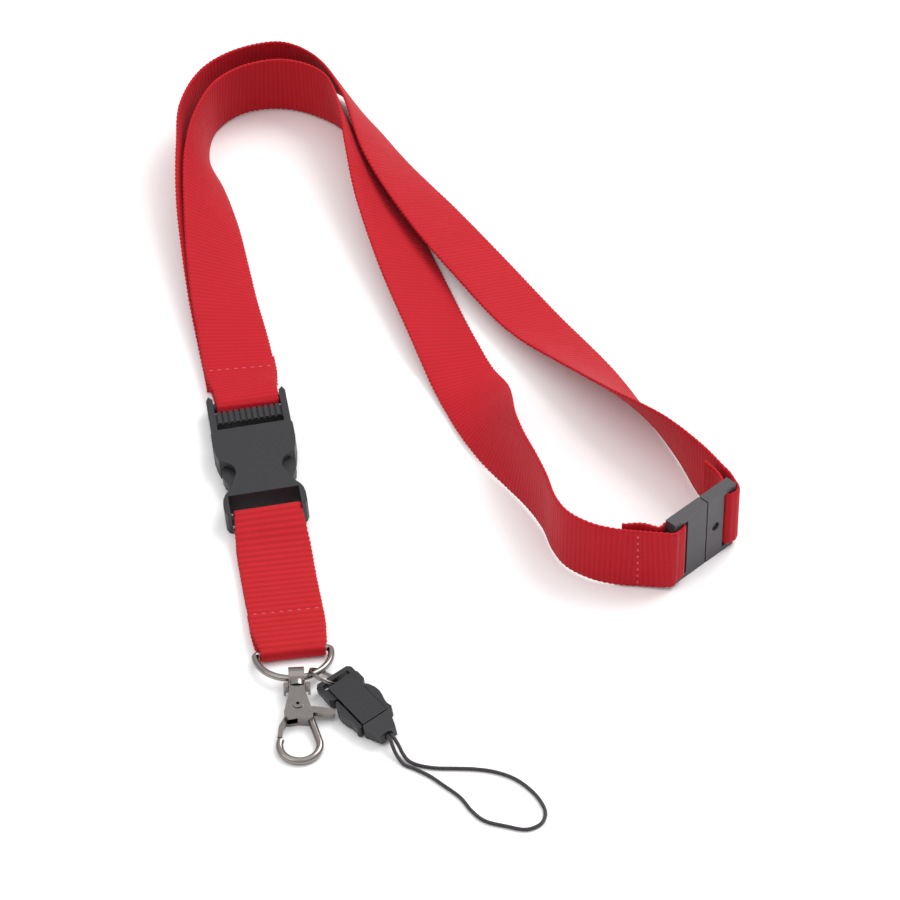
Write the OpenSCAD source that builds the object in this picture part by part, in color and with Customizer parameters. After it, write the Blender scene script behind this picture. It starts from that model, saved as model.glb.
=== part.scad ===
// Neck lanyard laid on a flat surface: webbing neck loop with a safety breakaway,
// side-release buckle, drop strap, D-ring, swivel snap hook and a phone-cord clip.

/* [Webbing] */
// Width of the webbing
web_w = 20; // [19.8:0.1:20.2]
// Thickness of the webbing
web_t = 1; // [0.8:0.05:1]

/* [Side-release buckle] */
// Thickness of the socket
socket_t = 6.4; // [6.2:0.1:6.6]
// Thickness of the plug frame
frame_t = 4.6; // [4.4:0.1:4.8]
// Radius of the bars that the webbing goes round
bar_r = 1.3; // [1.2:0.05:1.35]
// Number of ribs on the adjuster bar
rib_count = 11; // [7:2:13]

/* [Breakaway] */
// Height of each half
break_h = 21.6; // [21.4:0.1:22]
// Thickness of each half
break_t = 3.3; // [3.2:0.1:3.6]

/* [D-ring and split ring] */
// Radius of the D-ring wire
ring_r = 0.9; // [0.8:0.05:0.95]
// Half the width of the D-ring, to the middle of its wire
ring_half = 9.95; // [9.8:0.05:10.1]
// Mean radius of the split ring
split_mean = 4.3; // [4.2:0.05:4.4]
// Radius of the split ring's wire
split_r = 0.26; // [0.24:0.01:0.28]

/* [Snap hook] */
// Radius of the hook's wire
hook_r = 1; // [0.9:0.05:1.05]
// Radius of the hook's round end, to the middle of its wire
hook_bend = 5.15; // [5:0.05:5.3]
// Radius of the lever's rivet
rivet_r = 0.8; // [0.75:0.01:0.82]

/* [Phone-cord clip] */
// Half the thickness of the clip
clip_half_t = 2.3; // [2.2:0.05:2.4]
// Diameter of the cord
cord_d = 1; // [0.9:0.05:1]

/* [Hidden] */
$fn = 48;
fit = 0.15;                      // gap between webbing and the bar it goes round

webbing_red = "#c8202c";
moulded_black = "#3a383c";
nickel = "#b9b4ae";
cord_black = "#2e2c2e";

// Where each sub-assembly lies, on a plane whose origin is the middle of the outline
lay = [1.55, -21.85, 0];           // moves the whole layout onto its origin
drop_at = [-56.1, 17.2, 0];      // top of the buckle, where the drop assembly starts
drop_turn = 8.8;
buckle_roll = 4;                 // the buckle leans on its left edge
buckle_lift = 0.85;
break_at = [66.6, -43.9];     // where the two breakaway halves meet
break_turn = 45;

// Stations down the drop assembly, measured from the top of the buckle's rails
bar_v = 2.5;                     // upper bar of the plug frame
mouth_v = 15.2;                  // mouth of the socket
latch_v = 27.6;                  // edge that the prongs catch behind
end_bar_v = 48.6;                // end bar of the socket
d_bar_v = 99.3;                  // straight bar of the D-ring
ring_pitch = 5;                  // the bow rides up on the swivel
bar_z = 3;                       // height of the plug's bars
end_bar_z = 3.2;
ring_z = 2.1;                    // height of the D-ring's bar
corner_r = 1.1;                  // corners of the D-ring
bow_v = corner_r + ring_half;    // from the bar to the far side of the bow
prong_x = 6.9;                   // prong pivots, each side of the middle
prong_v = 16.6;

// The hook hangs from the bow of the D-ring
hook_turn = 3.5;
hook_pitch = 4.2;
eye_w = 4.1;
rivet_v = 10.4;
bend_v = 22.8;

// The split ring joins the D-ring to the clip
split_at = [-32.24, -91.52, 3.17];
split_normal = [0.412, 0.474, 0.778];
clip_at = [-29.9, -92.1, 3.15];
clip_turn = 35;
clip_roll = 10;
clip_len = 25;
arm_x = 4.7;                     // clip arm pivots
arm_v = 18.6;

// A point v down the drop assembly, in the layout
function down(v) = drop_at + v * [sin(drop_turn), -cos(drop_turn), 0];

// Webbing stations: [x, y, z, direction of the width, its tilt, width].
// Width points along the direction, then tips up by the tilt.
bar_turn = 180 + drop_turn;
pinch_w = 17.6;                    // webbing squeezed between the buckle's rails
function bar_fold(v, z) =
  concat([down(v).x, down(v).y, z + buckle_lift], [bar_turn, -buckle_roll, pinch_w]);
fold_r = bar_r + fit + web_t / 2;
// Standing webbing beside the breakaway: u along it, n behind it
function at_break(u, n, tilt, w) =
  let (p = break_at + u * [cos(break_turn), sin(break_turn)] + n * [-sin(break_turn), cos(break_turn)])
  [p.x, p.y, break_h / 2, break_turn + 90, tilt, w];
front_run = [
  [-58.8, 35.1, 2.3, 189, 1, web_w], [-57.8, 28.5, 2.1, 189, 0, web_w],
  bar_fold(-1.6, 1.35), bar_fold(bar_v, bar_z - fold_r),
  for (a = [-45, 0, 45]) bar_fold(bar_v + fold_r * cos(a), bar_z + fold_r * sin(a)),
  bar_fold(bar_v, bar_z + fold_r), bar_fold(-1.8, 4.6),
  [-58.3, 29.4, 3.5, 189, 2, 19.8], [-60.5, 42, 3.8, 188, 8, web_w],
  [-63.6, 58, 5.05, 188, 17, web_w], [-66.2, 75, 6.35, 188, 27, web_w],
  [-68.5, 92, 7.8, 188, 38, web_w], [-71.3, 111, 9.4, 187, 56, web_w],
  [-72.6, 126, 10.2, 177, 80, web_w], [-68.9, 141, 10.4, 147, 93, web_w],
  [-60.6, 149.2, 10.4, 119, 97, web_w], [-48.6, 151.4, 10.4, 82, 95, web_w],
  [-36.8, 145.4, 10.4, 44, 97, web_w], [-29.1, 132.2, 9.4, 23, 114, web_w],
  [-24.2, 117, 8.15, 17, 131, web_w], [-19.6, 100, 6.2, 16, 145, web_w],
  [-10.8, 70.7, 4.25, 17, 159, web_w], [-1.8, 43, 3, 18, 166, 19.6],
  [3.2, 29, 2, 18, 178, 19], [7.4, 16.5, 4.2, 18, 200, 18.8],
  [10.7, 3.9, 7.6, 18, 225, 19], [13.9, -6.7, 9.6, 20, 245, 19.6],
  [17.8, -15.7, 10.3, 20, 258, web_w], [21.8, -24, 10.6, 20, 265, web_w],
  [25.2, -32.4, 10.6, 17, 269, web_w], [27.7, -41.3, 10.5, 22, 270, web_w],
  [31, -47.1, 10.5, 45, 270, web_w], [37, -51.6, 10.5, 67, 270, web_w],
  [43, -53.6, 10.4, 82, 270, web_w], [49.5, -54.4, 10.3, 88, 270, 19.8],
  at_break(-13.6, -2.6, 270, 19), at_break(-12.2, -2.35, 270, 18),
  at_break(-10.6, -2.35, 270, 18), at_break(-9.2, -1.9, 270, 18), at_break(-8.6, 0, 270, 18),
  at_break(-9.2, 1.9, 270, 18), at_break(-10.6, 2.35, 270, 18),
  at_break(-12.2, 2.35, 270, 18), at_break(-14.6, 1.9, 270, 19), [50.4, -51.6, 10.6, 290, 270, 19.6],
  [45, -52.1, 10.6, 275, 270, web_w]
];
back_run = [
  [-57.6, 25.2, 0.6, 189, 0, web_w], [-58.6, 31.5, 0.75, 189, 1, web_w],
  [-61, 43, 1.9, 189, 7, web_w], [-64.3, 58.5, 3.4, 189, 16, web_w],
  [-67.4, 75, 5, 189, 26, web_w], [-70.8, 94, 6.8, 188, 38, web_w],
  [-74.1, 113, 9, 186, 58, web_w], [-76.7, 130, 10.3, 177, 78, web_w],
  [-71.9, 146.8, 10.5, 152, 87, web_w], [-62, 157.3, 10.5, 126, 96, web_w],
  [-49.3, 161.6, 10.4, 88, 103, web_w], [-37, 156.5, 10.2, 47, 115, web_w],
  [-27.8, 141.4, 9.6, 26, 121, web_w], [-18, 119.5, 6.6, 28, 144, web_w],
  [-4.2, 96.1, 4, 31, 161, web_w], [9.7, 73, 3, 31, 166, web_w],
  [23.4, 50, 3.2, 33, 165, web_w], [37.8, 29, 5.45, 33, 150, web_w],
  [49.5, 9.8, 8.15, 32, 129, web_w], [60.4, -7.2, 10, 31, 106, web_w],
  [67.6, -20.2, 10.3, 32, 92, 19.8], at_break(15, 7, 90, 19), at_break(14.4, 3.6, 90, 18.4),
  at_break(13.2, 0.6, 90, 18), at_break(12.3, -1.3, 90, 18), at_break(11, -2.3, 90, 18),
  at_break(9.5, -2.35, 90, 18), at_break(8.2, -1.9, 90, 18), at_break(7.6, 0, 90, 18),
  at_break(8.2, 1.9, 90, 18), at_break(9.5, 2.4, 90, 18), at_break(11.1, 3.4, 90, 18.4),
  at_break(12.2, 6.4, 90, 19), at_break(12.6, 11, 90, web_w)
];
ring_fold_r = ring_r + fit + web_t / 2;
end_fold_r = 1.4 + fit + web_t / 2;
low_z = web_t / 2;               // webbing lying on the surface
function drop_st(v, z, w, tilt = 0) = [0, -v, z, 180, tilt, w];
end_z = end_bar_z + buckle_lift;
drop_run = [
  drop_st(90, 1.8, web_w), drop_st(82, 1.8, web_w), drop_st(78, 1.2, web_w),
  drop_st(73, low_z + 0.15, web_w), drop_st(60, low_z + 0.2, web_w), drop_st(53.5, 0.9, 19.2, -2),
  for (a = [0 : 45 : 180])
    drop_st(end_bar_v - end_fold_r * sin(a), end_z - end_fold_r * cos(a), 18.6, -buckle_roll),
  drop_st(54, 5, 19.2, -3), drop_st(60, 3.2, web_w, -1), drop_st(70, 2.6, web_w),
  drop_st(82, 3.1, web_w), drop_st(90, 3.3, web_w), drop_st(94.6, 3.75, 19.2),
  for (a = [180 : -45 : 0])
    drop_st(d_bar_v + ring_fold_r * sin(a), ring_z - ring_fold_r * cos(a), 17.4),
  drop_st(95.4, low_z + 0.15, 19.2), drop_st(90, low_z + 0.15, web_w), drop_st(83, low_z + 0.15, web_w)
];

// The cord's route from the clip's tip and back, along its middle
cord_route = [
  [-16.3, -110.5, 3.1], [-15.3, -112, 3.1], [-14.2, -113.6, 3.1], [-13, -115.4, 2.2],
  [-12, -117.2, 1.2], [-10.7, -119, 0.7], [-8.6, -120.4, 0.55], [-4, -121.6, 0.55], [1.4, -121.8, 0.55],
  [6, -122, 0.55], [11, -122.9, 0.55], [16, -125.2, 0.55], [20, -129, 0.55],
  [22.8, -133.4, 0.55], [23.9, -137.4, 0.55], [22.8, -141, 0.55], [19.2, -143, 0.55],
  [14, -141.9, 0.55], [8.6, -140, 0.55], [5.4, -136.6, 0.55], [2.6, -132, 0.55],
  [-1.8, -127.6, 0.55], [-5, -124.6, 0.55], [-8.8, -122, 0.55], [-11.6, -120.4, 0.55],
  [-13.4, -118, 1.2], [-14.5, -115.9, 2.3], [-15.1, -114.3, 3], [-16.1, -112.7, 3.1],
  [-17.2, -111.1, 3.1]
];

// ---------- sweeps ----------
function xyz(s) = [s.x, s.y, s[2]];
function gap(a, b) = sqrt(max(norm(xyz(b) - xyz(a)), 0.001));
function mix(a, b, ta, tb, t) = a * (tb - t) / (tb - ta) + b * (t - ta) / (tb - ta);
// Centripetal Catmull-Rom through q and r
function blend(p, q, r, s, f) =
  let (t1 = gap(p, q), t2 = t1 + gap(q, r), t3 = t2 + gap(r, s), t = t1 + f * (t2 - t1),
    a1 = mix(p, q, 0, t1, t), a2 = mix(q, r, t1, t2, t), a3 = mix(r, s, t2, t3, t),
    b1 = mix(a1, a2, 0, t2, t), b2 = mix(a2, a3, t1, t3, t))
  mix(b1, b2, t1, t2, t);
function smooth(list, steps) =
  let (n = len(list), all = concat([2 * list[0] - list[1]], list, [2 * list[n - 1] - list[n - 2]]))
  concat([for (i = [0 : n - 2], k = [0 : steps - 1])
    blend(all[i], all[i + 1], all[i + 2], all[i + 3], k / steps)], [list[n - 1]]);
function unit(v) = v / norm(v);
function heading(list, i) =
  unit(xyz(list[min(i + 1, len(list) - 1)]) - xyz(list[max(i - 1, 0)]));

// Faces of a tube of n rings with m corners each
function tube_faces(n, m) = concat(
  [[for (j = [m - 1 : -1 : 0]) j]],
  [for (i = [0 : n - 2], j = [0 : m - 1]) let (k = (j + 1) % m)
    each [[i * m + j, i * m + k, (i + 1) * m + k], [i * m + j, (i + 1) * m + k, (i + 1) * m + j]]],
  [[for (j = [0 : m - 1]) (n - 1) * m + j]]);

module ribbon(stations, steps) {
  path = smooth(stations, steps);
  rings = [for (i = [0 : len(path) - 1])
    let (s = path[i], t = heading(path, i),
      raw = [cos(s[4]) * cos(s[3]), cos(s[4]) * sin(s[3]), sin(s[4])],
      wide = unit(raw - (raw * t) * t) * s[5] / 2,
      thick = cross(unit(wide), t) * web_t / 2)
    each [xyz(s) + wide + thick, xyz(s) - wide + thick, xyz(s) - wide - thick, xyz(s) + wide - thick]];
  polyhedron(rings, tube_faces(len(path), 4), convexity = 10);
}

module cord_tube(route, d, steps, sides) {
  path = smooth(route, steps);
  rings = [for (i = [0 : len(path) - 1])
    let (t = heading(path, i), side = unit(cross(t, [0, 0, 1])), up = cross(side, t))
    for (j = [0 : sides - 1])
      let (a = 180 / sides + j * 360 / sides)
      path[i] + (side * cos(a) + up * sin(a)) * d / 2 / cos(180 / sides)];
  polyhedron(rings, tube_faces(len(path), sides), convexity = 10);
}

// ---------- frames of the sub-assemblies ----------
module drop_frame() translate(lay + drop_at) rotate(drop_turn) children();
module break_frame() translate(lay + [break_at.x, break_at.y, 0]) rotate(break_turn) children();
module buckle_frame() drop_frame() translate([0, 0, buckle_lift]) rotate([0, -buckle_roll, 0]) children();
module ring_frame() drop_frame() translate([0, -d_bar_v, ring_z]) rotate([-ring_pitch, 0, 0]) children();
eye_at = down(d_bar_v + bow_v * cos(ring_pitch)) + [-0.35, 0, ring_z + bow_v * sin(ring_pitch)];
module hook_frame() translate(lay + eye_at) rotate([0, 0, hook_turn]) rotate([hook_pitch, 0, 0]) children();
module clip_frame_at()
  translate(lay + clip_at) rotate([0, 0, clip_turn]) rotate([0, -clip_roll, 0]) children();

// A box between two opposite corners
module span(a, b) translate(a) cube(b - a);
// A plate of thickness t about height z, from an outline drawn with v downward
module plate(points, z, t) translate([0, 0, z - t / 2]) linear_extrude(t) polygon([for (p = points) [p.x, -p.y]]);
// A round bar across, at v and z
module cross_bar(v, z, r, len) translate([-len / 2, -v, z]) rotate([0, 90, 0]) cylinder(r = r, h = len);
// A round rod between two points of a plane at z
module rod(a, b, z, r) {
  d = b - a;
  translate([a.x, -a.y, z]) rotate([0, 0, atan2(-d.y, d.x)]) rotate([0, 90, 0]) cylinder(r = r, h = norm(d));
}
module ball(p, z, r) translate([p.x, -p.y, z]) sphere(r = r);
// Part of a ring of round wire, from angle a0 through a1
module bend(centre, z, mean, r, a0, a1)
  translate([centre.x, -centre.y, z]) rotate(a0) rotate_extrude(angle = a1 - a0) translate([mean, 0]) circle(r = r);

// ---------- webbing ----------
module neck_webbing_front() color(webbing_red) translate(lay) ribbon(front_run, 3);
module neck_webbing_back() color(webbing_red) translate(lay) ribbon(back_run, 3);
module drop_webbing() color(webbing_red) drop_frame() ribbon(drop_run, 3);

// ---------- breakaway ----------
slot_lo = 1.6;
slot_hi = break_h - 1.6;
break_mid = break_h / 2;
tongue_t = 1.2;
tongue_h = 9;
nub_u = 3.6;
module breakaway_half(near, slot_a, slot_b, far) {
  half = break_t / 2;
  difference() {
    span([near, -half, 0], [far, half, break_h]);
    span([slot_a, -half - 1, slot_lo], [slot_b, half + 1, slot_hi]);
  }
}
module breakaway_socket() color(moulded_black) break_frame() difference() {
  breakaway_half(0.2, 6.5, 8.8, 10.9);
  span([0, -0.75, break_mid - 4.8], [5.4, 0.75, break_mid + 4.8]);
  span([0, -1.05, break_mid - 1.1], [nub_u, 0, break_mid + 1.1]);
  translate([nub_u, 0, break_mid]) rotate([90, 0, 0]) cylinder(r = 1.3, h = break_t);
}
module breakaway_plug() color(moulded_black) break_frame() {
  breakaway_half(-12.7, -9.8, -7.5, -0.2);
  span([-0.4, -tongue_t / 2, break_mid - tongue_h / 2], [5, tongue_t / 2, break_mid + tongue_h / 2]);
  translate([nub_u, 0, break_mid]) rotate([90, 0, 0]) cylinder(r = 0.95, h = 0.95);
}

// ---------- side-release buckle ----------
rail_in = 9.2;
rail_out = 11;
tongue_in = 2.7;
module buckle_plug() color(moulded_black) buckle_frame() {
  for (s = [-1, 1]) {
    plate([[s * rail_in, 1.2], [s * (rail_in + 0.9), 0], [s * (rail_out - 0.7), 0], [s * rail_out, 1.6],
      [s * rail_out, 14.9], [s * rail_in, 14.9]], bar_z, frame_t);
  }
  cross_bar(bar_v, bar_z, bar_r, 2 * rail_in + 0.4);
  span([-rail_in, -11, 1.4], [rail_in, -6.5, 4.4]);
  for (i = [0 : rib_count - 1]) {
    x = (i - (rib_count - 1) / 2) * 1.62;
    span([x - 0.5, -11.1, 1.3], [x + 0.5, -6.4, 5.1]);
  }
  span([-rail_in, -14.9, bar_z - 1.3], [rail_in, -14.1, bar_z + 0.4]);
  plate([[-tongue_in, 14.6], [tongue_in, 14.6], [tongue_in - 0.5, 33], [-tongue_in + 0.5, 33]], bar_z, 2.4);
}

// One prong, its shoulder caught behind the edge of the window
module prong(s) color(moulded_black) buckle_frame() {
  plate([[s * 5.6, prong_v], [s * 8.2, prong_v], [s * 8.6, 20], [s * 8.5, 26], [s * 8.2, 28.3],
    [s * 9.5, 28.4], [s * 10, 29.4], [s * 10.1, 31.6], [s * 9.7, 33.8], [s * 8.9, 35.6],
    [s * 7.7, 36.6], [s * 6.4, 36.2], [s * 5.8, 34], [s * 5.7, 28]], bar_z, 2.8);
  translate([s * prong_x, -prong_v, bar_z - 1.4]) cylinder(r = 1.4, h = 2.8);
}
module buckle_prong_left() prong(-1);
module buckle_prong_right() prong(1);

module buckle_socket() color(moulded_black) buckle_frame() {
  difference() {
    plate([for (s = [1, -1]) each let (side = [[9.9, mouth_v], [10.8, mouth_v + 0.2], [11.3, 16.6],
      [11.3, 22], [11, 24.5], [10.4, latch_v], [7.2, 31.6], [7.2, 35.8], [8, 38], [9, 39.8],
      [10.2, 41.4], [10.9, 43], [11.2, 45], [11.2, 48.2], [10.6, 49.7], [9.7, 50.3]])
      s > 0 ? side : [for (i = [len(side) - 1 : -1 : 0]) [-side[i].x, side[i].y]]],
      socket_t / 2, socket_t);
    span([-9.1, -36.9, 1.4], [9.1, -mouth_v + 1, 4.6]);
    for (s = [-1, 1]) translate([s * 11.2, -32.6, -1]) cylinder(r = 4.9, h = socket_t + 2);
    span([-9.6, -55, -1], [9.6, -42.2, socket_t + 1]);
  }
  cross_bar(end_bar_v, end_bar_z, 1.4, 19.8);
}

// ---------- D-ring ----------
module d_ring() color(nickel) ring_frame() {
  inner = ring_half - corner_r;
  cross_bar(0, 0, ring_r, 2 * inner);
  for (s = [-1, 1]) bend([s * inner, corner_r], 0, corner_r, ring_r, s > 0 ? 0 : 90, s > 0 ? 90 : 180);
  bend([0, corner_r], 0, ring_half, ring_r, 180, 360);
}

// ---------- swivel eye ----------
module swivel_eye() color(nickel) hook_frame() difference() {
  union() {
    translate([-eye_w / 2, 0, 0]) rotate([0, 90, 0]) cylinder(r = 2.9, h = eye_w);
    rotate([90, 0, 0]) translate([0, 0, 1.4]) cylinder(r = 2.1, h = 1);
    rotate([90, 0, 0]) translate([0, 0, 2.3]) cylinder(r = 2.5, h = 1.6);
    span([-3.4, -3.9, -1.1], [3.4, -2.3, 1.1]);
    for (s = [-1, 1]) span([s * 3.15 - 0.3, -5, -1.1], [s * 3.15 + 0.3, -2.6, 1.1]);
  }
  translate([-eye_w, 0, 0]) rotate([0, 90, 0]) cylinder(r = 1.5, h = 2 * eye_w);
  rotate([90, 0, 0]) cylinder(r = 1.85, h = 2.5);
  rotate([90, 0, 0]) cylinder(r = 1, h = 6);
}

// ---------- snap hook ----------
neck_v = 4.1;
slot_t = 1.8;
module hook_outline() polygon([[-1.9, -neck_v], [1.9, -neck_v], [2.1, -6], [2.9, -9.5], [3.9, -13.4], [3.6, -15.2],
  [2.4, -14.8], [0, -14.4], [-2.4, -14.8], [-3.6, -14.6], [-3.6, -12.8], [-2.9, -9.5], [-2.1, -6]]);
module hook_body() color(nickel) hook_frame() difference() {
  union() {
    translate([0, 0, -1.9]) linear_extrude(3.8) hook_outline();
    rotate([90, 0, 0]) translate([0, 0, 1.75]) cylinder(r = 0.9, h = 3);
    rotate([90, 0, 0]) translate([0, 0, 1.65]) cylinder(r = 1.6, h = 0.7);
    bend([0, bend_v], 0, hook_bend, hook_r, 158, 370);
    rod([3.1, 13.8], [hook_bend * cos(10), bend_v - hook_bend * sin(10)], 0, hook_r);
    ball([3.1, 13.8], 0, hook_r);
  }
  span([-6, -13.2, -slot_t / 2], [6, -6, slot_t / 2]);
  span([-6, -16, -slot_t / 2], [-0.2, -6, slot_t / 2]);
  translate([0, -rivet_v, -3]) cylinder(r = rivet_r + 0.02, h = 6);
}
module hook_lever() color(nickel) hook_frame() difference() {
  union() {
    translate([0, -rivet_v, -0.75]) cylinder(r = 1.35, h = 1.5);
    plate([[-1, 9.4], [-1.8, 11.6], [-3.5, 13.4], [-5.1, 16.6], [-5.6, 20.2], [-4.4, 20.4],
      [-3.9, 17], [-2.5, 14.2], [-0.2, 11.8]], 0, 1.5);
    plate([[0.2, 9.2], [3.4, 10.2], [6.6, 10.9], [8.6, 11.5], [9.5, 12.4], [9.3, 13.3], [8.3, 13.6],
      [5.6, 13], [3.2, 12.3], [0.2, 11.6]], 0, 1.5);
  }
  translate([0, -rivet_v, -3]) cylinder(r = rivet_r + 0.05, h = 6);
}
module lever_rivet() color(nickel) hook_frame() difference() {
  union() {
    translate([0, -rivet_v, -2.1]) cylinder(r = rivet_r, h = 4.2);
    for (z = [-2.2, 1.92]) translate([0, -rivet_v, z]) cylinder(r = 1.4, h = 0.28);
  }
  translate([0, -rivet_v, -3]) cylinder(r = 0.45, h = 6);
}
module lever_spring() color(nickel) hook_frame() {
  for (z = [-0.2, 0.12]) bend([0.9, 7.4], z, 0.8, 0.2, 0, 360);
  rod([1.68, 7.4], [2.1, 8.9], 0.12, 0.2);
}

// ---------- split ring ----------
module split_ring() color(nickel) translate(lay + split_at)
  rotate([0, acos(split_normal.z), atan2(split_normal.y, split_normal.x)]) {
    for (z = [-0.27, 0.27]) bend([0, 0], z, split_mean, split_r, 0, 360);
    translate([split_mean, 0, -0.3]) cylinder(r = 0.22, h = 0.6);
  }

// ---------- phone-cord clip ----------
module clip_frame() color(moulded_black) clip_frame_at() difference() {
  union() {
    plate([for (s = [1, -1]) each let (side = [[4.6, -0.8], [5.5, 0.2], [5.5, 6.2], [4.7, 7.2], [3.7, 7.4]])
      s > 0 ? side : [for (i = [len(side) - 1 : -1 : 0]) [-side[i].x, side[i].y]]], 0, 3);
    span([-3.7, -19.3, -clip_half_t], [3.7, -3.2, clip_half_t]);
  }
  span([-4, -2.9, -4], [4, -0.6, 4]);
  span([-6, -3, 0.7], [6, 2, 4]);
  span([-6, -3, -4], [6, 2, -1.1]);
  span([-2.6, -20, -1], [2.6, -10.5, 1]);
  for (s = [-1, 1]) span([s * 4.8 - 1.9, -20, -2], [s * 4.8 + 1.9, -7.8, 2]);
}
module clip_plug() color(moulded_black) clip_frame_at() difference() {
  union() {
    intersection() {
      plate([[-3.9, 19.6], [3.9, 19.6], [4.2, 20], [2.4, clip_len], [-2.4, clip_len], [-4.2, 20]], 0, 2 * clip_half_t);
      rotate([90, 0, 90]) translate([0, 0, -8]) linear_extrude(16)
        polygon([[-19.6, -clip_half_t], [-19.6, clip_half_t], [-clip_len, 1.7], [-clip_len, -1.7]]);
    }
    span([-1.7, -19.8, -0.7], [1.7, -11.5, 0.7]);
  }
  rotate([90, 0, 0]) translate([0, 0, 21]) cylinder(r = 1.3, h = 6);
}
module clip_arm(s) color(moulded_black) clip_frame_at() {
  plate([[s * 4.1, 8.4], [s * 4.5, 7.9], [s * 5.2, 8.8], [s * 5.9, 10.6], [s * 6.1, 12.4], [s * 5.8, 14.2],
    [s * 5.3, 16.1], [s * 5.2, 17.3], [s * 5.5, arm_v], [s * 4.9, 19.4], [s * 4.3, 19.4], [s * 4, arm_v],
    [s * 4, 11]], 0, 3.4);
  translate([s * arm_x, -arm_v, -1.7]) cylinder(r = 0.8, h = 3.4);
}
module clip_arm_left() clip_arm(-1);
module clip_arm_right() clip_arm(1);
module cord_crimp() color(nickel) clip_frame_at()
  rotate([90, 0, 0]) translate([0, 0, 21.05]) difference() {
    cylinder(r = 1.25, h = 1.5);
    translate([0, 0, 0.5]) cylinder(r = 0.95, h = 2);
  }
module phone_cord() color(cord_black) translate(lay) cord_tube(cord_route, cord_d, 2, 8);

neck_webbing_front();
neck_webbing_back();
drop_webbing();
breakaway_plug();
breakaway_socket();
buckle_plug();
buckle_prong_left();
buckle_prong_right();
buckle_socket();
d_ring();
swivel_eye();
hook_body();
hook_lever();
lever_rivet();
lever_spring();
split_ring();
clip_frame();
clip_plug();
clip_arm_left();
clip_arm_right();
cord_crimp();
phone_cord();
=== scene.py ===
"""The lanyard's looks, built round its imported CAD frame."""

import math

import bpy
import numpy as np
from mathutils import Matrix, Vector


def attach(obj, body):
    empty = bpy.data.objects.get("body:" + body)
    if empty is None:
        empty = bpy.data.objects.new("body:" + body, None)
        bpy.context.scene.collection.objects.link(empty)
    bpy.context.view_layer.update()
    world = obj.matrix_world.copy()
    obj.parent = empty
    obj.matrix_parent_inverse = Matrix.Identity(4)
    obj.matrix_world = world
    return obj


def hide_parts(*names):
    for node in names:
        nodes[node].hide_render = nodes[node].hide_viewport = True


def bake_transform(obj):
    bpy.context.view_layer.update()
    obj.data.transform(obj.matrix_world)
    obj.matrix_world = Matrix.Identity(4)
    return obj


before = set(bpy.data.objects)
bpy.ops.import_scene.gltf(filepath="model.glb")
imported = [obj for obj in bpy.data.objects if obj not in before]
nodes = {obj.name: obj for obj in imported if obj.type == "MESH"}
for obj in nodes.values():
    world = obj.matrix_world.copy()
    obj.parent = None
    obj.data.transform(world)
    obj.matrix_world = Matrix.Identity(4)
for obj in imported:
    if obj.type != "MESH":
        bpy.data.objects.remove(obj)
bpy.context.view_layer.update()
scene = bpy.context.scene

# ---------- layout, in millimetres; the row frame is the layout plus LAY ----------
LAY = np.array([1.55, -21.85, 0.0])
MM = 0.001
CORD_D, CORD_SIDES, CORD_STEP = 1.0, 12, 0.2  # diameter, corners and ring spacing
NECK_RIB, DROP_RIB, TOOTH = 1.4, 2.0, 1.5  # pitch of the cross ribs and of the selvedge
STITCH_SIDES = 8
FLOOR_SIZE = 6
LENS, SENSOR, ELEVATION, DISTANCE = 181.5, 36, 41.7, 1.24


def row(p):
    return [float(x) * MM for x in (np.array(p[:3], float) + LAY)]


# ---------- camera ----------
cam_data = bpy.data.cameras.new("camera")
cam = bpy.data.objects.new("camera", cam_data)
scene.collection.objects.link(cam)
scene.camera = cam
cam_data.lens = LENS
cam_data.sensor_width = SENSOR
cam_data.clip_start = 0.05
elev = math.radians(ELEVATION)
aim = Vector(row((0, 0, 0)))
cam.location = aim + Vector((0, -math.cos(elev), math.sin(elev))) * DISTANCE
cam.rotation_euler = (math.pi / 2 - elev, 0, 0)


def mesh_piece(name, verts, faces, mat=None):
    """A smooth-shaded mesh object from points in metres."""
    me = bpy.data.meshes.new(name)
    me.from_pydata(verts, [], faces)
    me.polygons.foreach_set("use_smooth", [True] * len(me.polygons))
    if mat:
        me.materials.append(mat)
    o = bpy.data.objects.new(name, me)
    scene.collection.objects.link(o)
    return o


def tube_faces(rings, sides):
    """Faces of a closed tube, rings first to last."""
    faces = []
    for i in range(rings - 1):
        for k in range(sides):
            j = (k + 1) % sides
            faces.append((i * sides + k, i * sides + j, (i + 1) * sides + j, (i + 1) * sides + k))
    faces.append(tuple(range(sides - 1, -1, -1)))
    faces.append(tuple((rings - 1) * sides + k for k in range(sides)))
    return faces


# ---------- curves ----------
def cosd(a):
    return math.cos(math.radians(a))


def sind(a):
    return math.sin(math.radians(a))


def smooth(stations, steps):
    """Centripetal Catmull-Rom through the stations."""
    s = np.array(stations, float)
    s = np.vstack([2 * s[0] - s[1], s, 2 * s[-1] - s[-2]])
    out = []

    def gap(a, b):
        return math.sqrt(max(np.linalg.norm(a[:3] - b[:3]), 0.001))

    def mix(a, b, ta, tb, t):
        return a * (tb - t) / (tb - ta) + b * (t - ta) / (tb - ta)

    for i in range(len(s) - 3):
        p, q, r, e = s[i : i + 4]
        t1 = gap(p, q)
        t2 = t1 + gap(q, r)
        t3 = t2 + gap(r, e)
        for k in range(steps):
            t = t1 + k / steps * (t2 - t1)
            a1, a2, a3 = mix(p, q, 0, t1, t), mix(q, r, t1, t2, t), mix(r, e, t2, t3, t)
            b1, b2 = mix(a1, a2, 0, t2, t), mix(a2, a3, t1, t3, t)
            out.append(mix(b1, b2, t1, t2, t))
    out.append(s[-2])
    return np.array(out)


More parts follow.
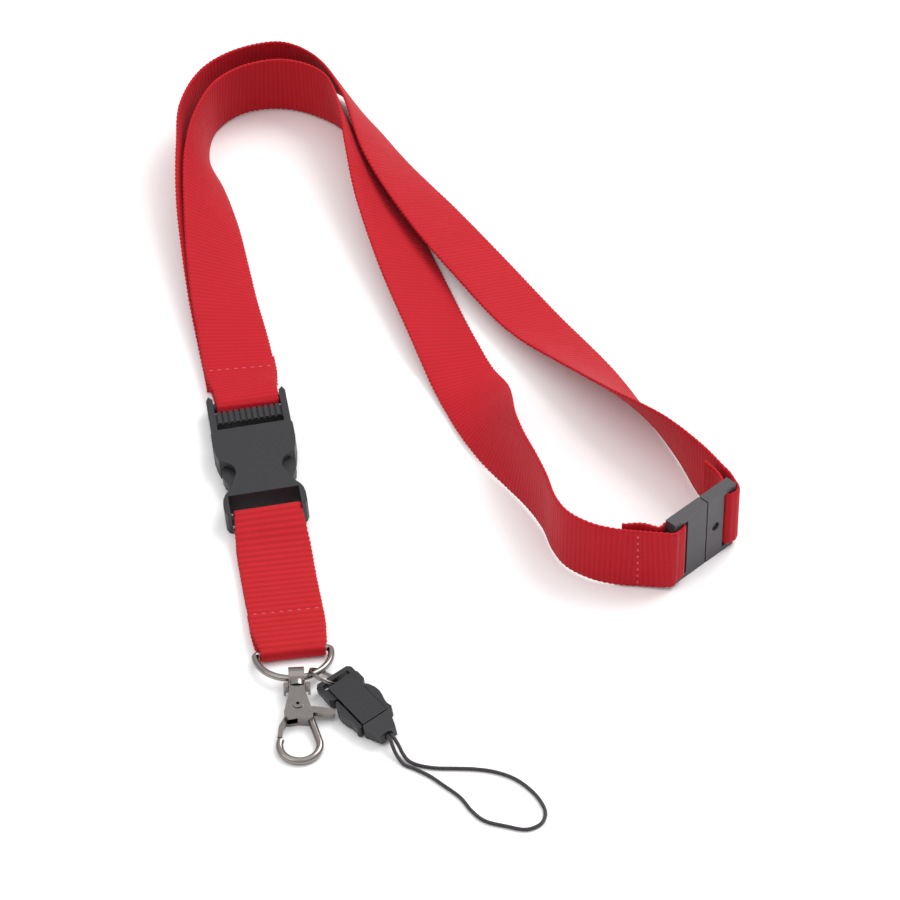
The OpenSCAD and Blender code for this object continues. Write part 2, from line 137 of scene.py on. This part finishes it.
def resample(path, step):
    """The same path with stations every step millimetres, and the length along it."""
    d = np.concatenate([[0], np.cumsum(np.linalg.norm(np.diff(path[:, :3], axis=0), axis=1))])
    n = int(d[-1] / step) + 1
    at = np.linspace(0, d[-1], n)
    return np.stack([np.interp(at, d, path[:, k]) for k in range(path.shape[1])], 1), at


WEB_W, WEB_T = 20, 1.0
DROP_TURN, BUCKLE_ROLL, BUCKLE_LIFT = 8.8, 4, 0.85
DROP_AT = np.array([-56.1, 17.2, 0])
BREAK_AT, BREAK_TURN, BREAK_H = (66.6, -43.9), 45, 21.6
BAR_V, BAR_Z, END_BAR_V, D_BAR_V, RING_Z = 2.5, 3, 48.6, 99.3, 2.1
FOLD_R, RING_FOLD_R, END_FOLD_R = 1.95, 1.55, 2.05
LOW_Z, END_Z = 0.5, 4.05


def down(v):
    return DROP_AT + v * np.array([sind(DROP_TURN), -cosd(DROP_TURN), 0])


def bar_fold(v, z):
    p = down(v)
    return [p[0], p[1], z + BUCKLE_LIFT, 180 + DROP_TURN, -BUCKLE_ROLL, 17.6]


def at_break(u, n, tilt, w):
    c, s = cosd(BREAK_TURN), sind(BREAK_TURN)
    x, y = BREAK_AT[0] + u * c - n * s, BREAK_AT[1] + u * s + n * c
    return [x, y, BREAK_H / 2, BREAK_TURN + 90, tilt, w]


def drop_st(v, z, w, tilt=0):
    p = down(v)
    return [p[0], p[1], z, 180 + DROP_TURN, tilt, w]


FRONT_RUN = [
    [-58.8, 35.1, 2.3, 189, 1, WEB_W], [-57.8, 28.5, 2.1, 189, 0, WEB_W],
    bar_fold(-1.6, 1.35), bar_fold(BAR_V, BAR_Z - FOLD_R),
    *[bar_fold(BAR_V + FOLD_R * cosd(a), BAR_Z + FOLD_R * sind(a)) for a in (-45, 0, 45)],
    bar_fold(BAR_V, BAR_Z + FOLD_R), bar_fold(-1.8, 4.6),
    [-58.3, 29.4, 3.5, 189, 2, 19.8], [-60.5, 42, 3.8, 188, 8, WEB_W],
    [-63.6, 58, 5.05, 188, 17, WEB_W], [-66.2, 75, 6.35, 188, 27, WEB_W],
    [-68.5, 92, 7.8, 188, 38, WEB_W], [-71.3, 111, 9.4, 187, 56, WEB_W],
    [-72.6, 126, 10.2, 177, 80, WEB_W], [-68.9, 141, 10.4, 147, 93, WEB_W],
    [-60.6, 149.2, 10.4, 119, 97, WEB_W], [-48.6, 151.4, 10.4, 82, 95, WEB_W],
    [-36.8, 145.4, 10.4, 44, 97, WEB_W], [-29.1, 132.2, 9.4, 23, 114, WEB_W],
    [-24.2, 117, 8.15, 17, 131, WEB_W], [-19.6, 100, 6.2, 16, 145, WEB_W],
    [-10.8, 70.7, 4.25, 17, 159, WEB_W], [-1.8, 43, 3, 18, 166, 19.6],
    [3.2, 29, 2, 18, 178, 19], [7.4, 16.5, 4.2, 18, 200, 18.8],
    [10.7, 3.9, 7.6, 18, 225, 19], [13.9, -6.7, 9.6, 20, 245, 19.6],
    [17.8, -15.7, 10.3, 20, 258, WEB_W], [21.8, -24, 10.6, 20, 265, WEB_W],
    [25.2, -32.4, 10.6, 17, 269, WEB_W], [27.7, -41.3, 10.5, 22, 270, WEB_W],
    [31, -47.1, 10.5, 45, 270, WEB_W], [37, -51.6, 10.5, 67, 270, WEB_W],
    [43, -53.6, 10.4, 82, 270, WEB_W], [49.5, -54.4, 10.3, 88, 270, 19.8],
    at_break(-13.6, -2.6, 270, 19), at_break(-12.2, -2.35, 270, 18),
    at_break(-10.6, -2.35, 270, 18), at_break(-9.2, -1.9, 270, 18), at_break(-8.6, 0, 270, 18),
    at_break(-9.2, 1.9, 270, 18), at_break(-10.6, 2.35, 270, 18),
    at_break(-12.2, 2.35, 270, 18), at_break(-14.6, 1.9, 270, 19), [50.4, -51.6, 10.6, 290, 270, 19.6],
    [45, -52.1, 10.6, 275, 270, WEB_W]
]
BACK_RUN = [
    [-57.6, 25.2, 0.6, 189, 0, WEB_W], [-58.6, 31.5, 0.75, 189, 1, WEB_W],
    [-61, 43, 1.9, 189, 7, WEB_W], [-64.3, 58.5, 3.4, 189, 16, WEB_W],
    [-67.4, 75, 5, 189, 26, WEB_W], [-70.8, 94, 6.8, 188, 38, WEB_W],
    [-74.1, 113, 9, 186, 58, WEB_W], [-76.7, 130, 10.3, 177, 78, WEB_W],
    [-71.9, 146.8, 10.5, 152, 87, WEB_W], [-62, 157.3, 10.5, 126, 96, WEB_W],
    [-49.3, 161.6, 10.4, 88, 103, WEB_W], [-37, 156.5, 10.2, 47, 115, WEB_W],
    [-27.8, 141.4, 9.6, 26, 121, WEB_W], [-18, 119.5, 6.6, 28, 144, WEB_W],
    [-4.2, 96.1, 4, 31, 161, WEB_W], [9.7, 73, 3, 31, 166, WEB_W],
    [23.4, 50, 3.2, 33, 165, WEB_W], [37.8, 29, 5.45, 33, 150, WEB_W],
    [49.5, 9.8, 8.15, 32, 129, WEB_W], [60.4, -7.2, 10, 31, 106, WEB_W],
    [67.6, -20.2, 10.3, 32, 92, 19.8], at_break(15, 7, 90, 19), at_break(14.4, 3.6, 90, 18.4),
    at_break(13.2, 0.6, 90, 18), at_break(12.3, -1.3, 90, 18), at_break(11, -2.3, 90, 18),
    at_break(9.5, -2.35, 90, 18), at_break(8.2, -1.9, 90, 18), at_break(7.6, 0, 90, 18),
    at_break(8.2, 1.9, 90, 18), at_break(9.5, 2.4, 90, 18), at_break(11.1, 3.4, 90, 18.4),
    at_break(12.2, 6.4, 90, 19), at_break(12.6, 11, 90, WEB_W)
]
DROP_RUN = [
    drop_st(90, 1.8, WEB_W), drop_st(82, 1.8, WEB_W), drop_st(78, 1.2, WEB_W),
    drop_st(73, LOW_Z + 0.15, WEB_W), drop_st(60, LOW_Z + 0.2, WEB_W), drop_st(53.5, 0.9, 19.2, -2),
    *[drop_st(END_BAR_V - END_FOLD_R * sind(a), END_Z - END_FOLD_R * cosd(a), 18.6, -BUCKLE_ROLL)
        for a in (0, 45, 90, 135, 180)],
    drop_st(54, 5, 19.2, -3), drop_st(60, 3.2, WEB_W, -1), drop_st(70, 2.6, WEB_W),
    drop_st(82, 3.1, WEB_W), drop_st(90, 3.3, WEB_W), drop_st(94.6, 3.75, 19.2),
    *[drop_st(D_BAR_V + RING_FOLD_R * sind(a), RING_Z - RING_FOLD_R * cosd(a), 17.4)
        for a in (180, 135, 90, 45, 0)],
    drop_st(95.4, LOW_Z + 0.15, 19.2), drop_st(90, LOW_Z + 0.15, WEB_W),
    drop_st(83, LOW_Z + 0.15, WEB_W)
]
CORD_ROUTE = [
    [-16.3, -110.5, 3.1], [-15.3, -112, 3.1], [-14.2, -113.6, 3.1], [-13, -115.4, 2.2],
    [-12, -117.2, 1.2], [-10.7, -119, 0.7], [-8.6, -120.4, 0.55], [-4, -121.6, 0.55], [1.4, -121.8, 0.55],
    [6, -122, 0.55], [11, -122.9, 0.55], [16, -125.2, 0.55], [20, -129, 0.55],
    [22.8, -133.4, 0.55], [23.9, -137.4, 0.55], [22.8, -141, 0.55], [19.2, -143, 0.55],
    [14, -141.9, 0.55], [8.6, -140, 0.55], [5.4, -136.6, 0.55], [2.6, -132, 0.55],
    [-1.8, -127.6, 0.55], [-5, -124.6, 0.55], [-8.8, -122, 0.55], [-11.6, -120.4, 0.55],
    [-13.4, -118, 1.2], [-14.5, -115.9, 2.3], [-15.1, -114.3, 3], [-16.1, -112.7, 3.1],
    [-17.2, -111.1, 3.1]
]

# ---------- phone cord, first of the soft pieces ----------
cord_path = smooth(CORD_ROUTE, 8)[:, :3]
cord_path, cord_at = resample(cord_path, CORD_STEP)
cord_dir = np.gradient(cord_path, axis=0)
cord_dir /= np.linalg.norm(cord_dir, axis=1)[:, None]
cord_side = np.cross(cord_dir, (0, 0, 1))
cord_side /= np.linalg.norm(cord_side, axis=1)[:, None]
cord_up = np.cross(cord_side, cord_dir)
cord_verts = []
for p, s, side, up in zip(cord_path, cord_at, cord_side, cord_up):
    for k in range(CORD_SIDES):
        a = 2 * math.pi * k / CORD_SIDES
        strand = math.cos(3 * a + 4 * s) + math.cos(3 * a - 4 * s)
        r = 0.49 * CORD_D * (1 + 0.02 * strand)
        cord_verts.append(row(p + r * (side * math.cos(a) + up * math.sin(a))))
cord = mesh_piece("phone_cord_braid", cord_verts, tube_faces(len(cord_path), CORD_SIDES))
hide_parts("phone_cord")
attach(cord, "clip_end")


# ---------- materials ----------
def material(name, color, rough, metallic=0.0, **sockets):
    m = bpy.data.materials.new(name)
    m.use_nodes = True
    m.diffuse_color = (*color, 1)
    t = m.node_tree
    b = next(n for n in t.nodes if n.type == "BSDF_PRINCIPLED")
    b.inputs["Base Color"].default_value = (*color, 1)
    b.inputs["Roughness"].default_value = rough
    b.inputs["Metallic"].default_value = metallic
    for k, v in sockets.items():
        b.inputs[k.replace("_", " ")].default_value = v
    return m, t, b


def add(t, kind, **values):
    n = t.nodes.new(kind)
    for k, v in values.items():
        setattr(n, k, v)
    return n


def math_node(t, op, a, b=None, c=None):
    n = add(t, "ShaderNodeMath", operation=op)
    for i, v in enumerate((a, b, c)):
        if v is None:
            continue
        if isinstance(v, (int, float)):
            n.inputs[i].default_value = v
        else:
            t.links.new(v, n.inputs[i])
    return n.outputs[0]


def noise(t, vec, scale, detail=2.0):
    n = add(t, "ShaderNodeTexNoise")
    n.inputs["Scale"].default_value = scale
    n.inputs["Detail"].default_value = detail
    t.links.new(vec, n.inputs["Vector"])
    return n.outputs[0]


def bump(t, b, height, strength, distance):
    n = add(t, "ShaderNodeBump")
    n.inputs["Strength"].default_value = strength
    n.inputs["Distance"].default_value = distance
    t.links.new(height, n.inputs["Height"])
    t.links.new(n.outputs[0], b.inputs["Normal"])


# The colour ramp runs from deep, reached in the rib valleys as painted shade and at dark fibres, to light
# on the rib crests.
def woven(name, deep, light, pitch):
    """Ribbed webbing: u runs along it and v across it, in millimetres."""
    m, t, b = material(name, light, 0.72, Sheen_Weight=0.1, Sheen_Roughness=0.4)
    b.inputs["Sheen Tint"].default_value = (1, 0.55, 0.62, 1)
    b.inputs["Specular IOR Level"].default_value = 0.2
    uv = add(t, "ShaderNodeUVMap", uv_map="web")
    sep = add(t, "ShaderNodeSeparateXYZ")
    t.links.new(uv.outputs[0], sep.inputs[0])
    u, v = sep.outputs[0], sep.outputs[1]
    rib = math_node(t, "COSINE", math_node(t, "MULTIPLY", u, 2 * math.pi / pitch))
    rib = math_node(t, "MULTIPLY_ADD", rib, 0.5, 0.5)
    warp = math_node(t, "SINE", math_node(t, "MULTIPLY", v, 2 * math.pi / 0.55))
    stretch = add(t, "ShaderNodeMapping")
    stretch.inputs["Scale"].default_value = (0.9, 3.2, 1)
    t.links.new(uv.outputs[0], stretch.inputs["Vector"])
    fibre = noise(t, stretch.outputs[0], 2.2, 4)
    blotch = noise(t, uv.outputs[0], 0.12, 2)
    patches = math_node(t, "MULTIPLY", math_node(t, "SUBTRACT", blotch, 0.5), 0.35)
    # Painted shade: the rib term makes the colour darker in the rib valleys. The fibre and patch terms
    # are the webbing's own random tone.
    tone_and_rib_shade = math_node(
        t, "ADD", math_node(t, "MULTIPLY", rib, 0.55), math_node(t, "MULTIPLY", fibre, 0.45)
    )
    tone_and_rib_shade = math_node(t, "ADD", tone_and_rib_shade, patches)
    # Deep red where the mix is low is partly painted rib-valley shade and partly the yarn's own darker
    # tone.
    ramp = add(t, "ShaderNodeValToRGB")
    ramp.color_ramp.elements[0].position = 0.12
    ramp.color_ramp.elements[0].color = (*deep, 1)
    ramp.color_ramp.elements[1].position = 0.8
    ramp.color_ramp.elements[1].color = (*light, 1)
    t.links.new(tone_and_rib_shade, ramp.inputs[0])
    t.links.new(ramp.outputs[0], b.inputs["Base Color"])
    h = math_node(t, "ADD", math_node(t, "MULTIPLY", warp, 0.18), math_node(t, "MULTIPLY", fibre, 0.8))
    h = math_node(t, "ADD", h, math_node(t, "MULTIPLY", rib, 0.5))
    bump(t, b, h, 0.7, 0.00012)
    return m


def moulded(name, color, rough):
    """Satin plastic with a fine grain and uneven gloss."""
    m, t, b = material(name, color, rough)
    co = add(t, "ShaderNodeTexCoord")
    fine = noise(t, co.outputs["Object"], 2600, 3)
    wide = noise(t, co.outputs["Object"], 120, 3)
    bump(t, b, fine, 0.35, 0.00003)
    r = math_node(t, "MULTIPLY_ADD", wide, 0.16, rough - 0.08)
    t.links.new(r, b.inputs["Roughness"])
    return m


def metal(name, color, rough):
    """Plated metal with faint waviness."""
    m, t, b = material(name, color, rough, 1.0)
    co = add(t, "ShaderNodeTexCoord")
    wide = noise(t, co.outputs["Object"], 500, 4)
    bump(t, b, wide, 0.12, 0.00005)
    r = math_node(t, "MULTIPLY_ADD", wide, 0.18, rough - 0.08)
    t.links.new(r, b.inputs["Roughness"])
    return m


neck_mat = woven("webbing", (0.36, 0.003, 0.009), (0.45, 0.005, 0.014), NECK_RIB)
drop_mat = woven("drop_webbing", (0.35, 0.004, 0.008), (0.46, 0.008, 0.014), DROP_RIB)
thread_mat = material("thread", (0.54, 0.03, 0.045), 0.6, Sheen_Weight=0.3)[0]
buckle_mat = moulded("buckle_plastic", (0.010, 0.009, 0.0115), 0.5)
break_mat = moulded("breakaway_plastic", (0.048, 0.044, 0.051), 0.42)
clip_mat = moulded("clip_plastic", (0.009, 0.0085, 0.011), 0.4)
nickel_mat = metal("nickel", (0.26, 0.238, 0.228), 0.17)
steel_mat = metal("spring_steel", (0.45, 0.43, 0.41), 0.3)
cord_mat, ct, cb = material("cord", (0.024, 0.019, 0.024), 0.75, Sheen_Weight=0.2)
cco = add(ct, "ShaderNodeTexCoord")
wave = add(ct, "ShaderNodeTexWave", wave_type="BANDS", bands_direction="DIAGONAL")
wave.inputs["Scale"].default_value = 700
wave.inputs["Distortion"].default_value = 4
ct.links.new(cco.outputs["Object"], wave.inputs["Vector"])
bump(ct, cb, wave.outputs[1], 0.8, 0.0001)
cord.data.materials.append(cord_mat)

LOOKS = {
    "breakaway_plug": break_mat, "breakaway_socket": break_mat,
    "buckle_plug": buckle_mat, "buckle_prong_left": buckle_mat, "buckle_prong_right": buckle_mat,
    "buckle_socket": buckle_mat, "clip_frame": clip_mat, "clip_plug": clip_mat,
    "clip_arm_left": clip_mat, "clip_arm_right": clip_mat, "d_ring": nickel_mat,
    "swivel_eye": nickel_mat, "hook_body": nickel_mat, "hook_lever": nickel_mat,
    "lever_rivet": nickel_mat, "lever_spring": steel_mat, "split_ring": nickel_mat,
    "cord_crimp": nickel_mat,
}
FINE_PARTS = ("lever_spring", "split_ring", "cord_crimp")
for name, look in LOOKS.items():
    o = nodes[name]
    o.data.materials.clear()
    o.data.materials.append(look)
    soften = o.modifiers.new("edges", "BEVEL")
    soften.width = 0.00005 if name in FINE_PARTS else 0.00018
    soften.segments = 2
    soften.limit_method = "ANGLE"
    soften.angle_limit = math.radians(35)


# ---------- webbing ----------
def webbing_frame(stations, step=0.35):
    path, at = resample(smooth(stations, 12), step)
    c = path[:, :3]
    t = np.gradient(c, axis=0)
    t /= np.linalg.norm(t, axis=1)[:, None]
    az, tilt = np.radians(path[:, 3]), np.radians(path[:, 4])
    w = np.stack([np.cos(tilt) * np.cos(az), np.cos(tilt) * np.sin(az), np.sin(tilt)], 1)
    w -= (w * t).sum(1)[:, None] * t
    w /= np.linalg.norm(w, axis=1)[:, None]
    return c, w, np.cross(w, t), path[:, 5] / 2, at


def webbing(name, stations, pitch, node, body, mat, depth=0.035):
    """A strip with cross ribs on both faces and a toothed selvedge."""
    c, w, n, half, at = webbing_frame(stations)
    rows = len(at)
    rib = 0.5 + 0.5 * np.cos(2 * np.pi * at / pitch)
    tooth = np.abs(np.mod(at / TOOTH, 1) - 0.5) * 2
    rng = np.random.default_rng(7)
    wander = np.convolve(rng.normal(0, 0.12, rows + 60), np.ones(61) / 61, "valid")[:rows]
    across = np.array([-1, -0.975, -0.9, -0.6, -0.3, 0, 0.3, 0.6, 0.9, 0.975, 1])
    verts, uvs = [], []
    for face in (1, -1):
        for a in across if face > 0 else across[::-1]:
            edge = max(0.0, (abs(a) - 0.9) / 0.1)
            reach = half * a + np.sign(a) * edge * (wander - 0.34 * (1 - tooth))
            thick = (WEB_T / 2 - depth * (1 - rib)) * (1 - 0.45 * edge**2)
            verts.append(c + w * reach[:, None] + n * (face * thick)[:, None])
            uvs.append(np.stack([at, reach], 1))
    v = np.stack(verts, 1).reshape(-1, 3)
    uv = np.stack(uvs, 1).reshape(-1, 2)
    o = mesh_piece(name, [row(p) for p in v], tube_faces(rows, len(verts)), mat)
    me = o.data
    layer = me.uv_layers.new(name="web")
    loops = np.zeros(len(me.loops), int)
    me.loops.foreach_get("vertex_index", loops)
    layer.data.foreach_set("uv", uv[loops].astype(np.float32).ravel())
    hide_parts(node)
    if body:
        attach(o, body)
    return o


front = webbing("neck_strap_front", FRONT_RUN, NECK_RIB, "neck_webbing_front", None, neck_mat)
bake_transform(front)
webbing("neck_strap_back", BACK_RUN, NECK_RIB, "neck_webbing_back", "neck", neck_mat)
webbing("drop_strap", DROP_RUN, DROP_RIB, "drop_webbing", "drop", drop_mat, 0.06)


# ---------- stitching ----------
def stitches(name, rows_of, body, length=1.1, radius=0.26):
    """Dashes of thread, each a small rounded bar lying on the face it is sewn to."""
    verts, faces = [], []
    spans = (-1, -0.8, -0.35, 0.35, 0.8, 1)
    for p, along, up in rows_of:
        p, along, up = (np.array(x, float) for x in (p, along, up))
        along /= np.linalg.norm(along)
        up /= np.linalg.norm(up)
        side = np.cross(along, up)
        base = len(verts)
        for s in spans:
            r = radius * (1.0 if abs(s) < 0.5 else 0.8 if abs(s) < 0.9 else 0.35)
            for k in range(STITCH_SIDES):
                a = 2 * math.pi * k / STITCH_SIDES
                rise = r * 0.7 * math.sin(a) - 0.12 * s * s
                verts.append(row(p + along * s * length / 2 + side * r * math.cos(a) + up * rise))
        dash = tube_faces(len(spans), STITCH_SIDES)
        faces += [tuple(base + k for k in f) for f in dash]
    o = mesh_piece(name, verts, faces, thread_mat)
    if body:
        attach(o, body)
    return o


def nearest(stations, where):
    """The run's centre, width, normal and half width at the station nearest a point."""
    c, w, n, half, _ = webbing_frame(stations)
    i = int(np.argmin(np.linalg.norm(c - np.array(where, float), axis=1)))
    return c[i], w[i], n[i], half[i]


def seam(stations, where, count, toward, slant=0.0):
    """Stitches across a run, on the face that looks the way toward points."""
    c, w, n, half = nearest(stations, where)
    face = 1 if float(n @ np.array(toward, float)) > 0 else -1
    along = w + slant * np.cross(w, n)
    out = []
    for k in range(count):
        a = (k + 0.5) / count * 2 - 1
        out.append((c + w * half * 0.93 * a + n * face * WEB_T / 2, along, n * face))
    return out


TO_FRONT, TO_TOP = (0, -0.75, 0.66), (0, 0, 1)
stitches("stitch_above_buckle", seam(FRONT_RUN, (-58.3, 29.6, 3.5), 8, TO_FRONT), "neck")
sewn = stitches(
    "stitch_breakaway_front", seam(FRONT_RUN, (49.5, -54.4, 10.3), 8, TO_FRONT), None
)
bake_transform(sewn)
q = down(85.8)
stitches("stitch_drop_1", seam(DROP_RUN, (q[0], q[1], 3.15), 8, TO_TOP, 0.12), "drop")

# ---------- surface, lights and world ----------
bpy.ops.mesh.primitive_plane_add(size=FLOOR_SIZE, location=(0, 0, 0))
floor = bpy.context.object
floor.name = "surface"
floor.data.materials.append(material("white_surface", (0.92, 0.92, 0.925), 0.9)[0])


def area(name, at, size, power, color=(1, 1, 1)):
    d = bpy.data.lights.new(name, "AREA")
    d.shape = "RECTANGLE"
    d.size = size[0]
    d.size_y = size[1]
    d.energy = power
    d.color = color
    o = bpy.data.objects.new(name, d)
    scene.collection.objects.link(o)
    o.location = at
    o.rotation_euler = (-Vector(at)).to_track_quat("-Z", "Y").to_euler()
    return o


area("key", (0.7, 0.55, 1.1), (0.9, 0.9), 13)
area("fill", (-0.9, -0.6, 1.0), (1.2, 1.2), 4)
area("top", (0, 0, 1.5), (1.6, 1.6), 4.5)
world = bpy.data.worlds.new("studio")
scene.world = world
world.use_nodes = True
bg = next(n for n in world.node_tree.nodes if n.type == "BACKGROUND")
wt = world.node_tree
sky = add(wt, "ShaderNodeTexCoord")
split = add(wt, "ShaderNodeSeparateXYZ")
wt.links.new(sky.outputs["Generated"], split.inputs[0])
fade = add(wt, "ShaderNodeValToRGB")
fade.color_ramp.elements[0].position = 0.18
fade.color_ramp.elements[0].color = (0.36, 0.33, 0.32, 1)
fade.color_ramp.elements[1].position = 0.42
fade.color_ramp.elements[1].color = (1, 1, 1, 1)
wt.links.new(split.outputs[2], fade.inputs[0])
wt.links.new(fade.outputs[0], bg.inputs[0])
bg.inputs[1].default_value = 0.88
scene.view_settings.view_transform = "Standard"
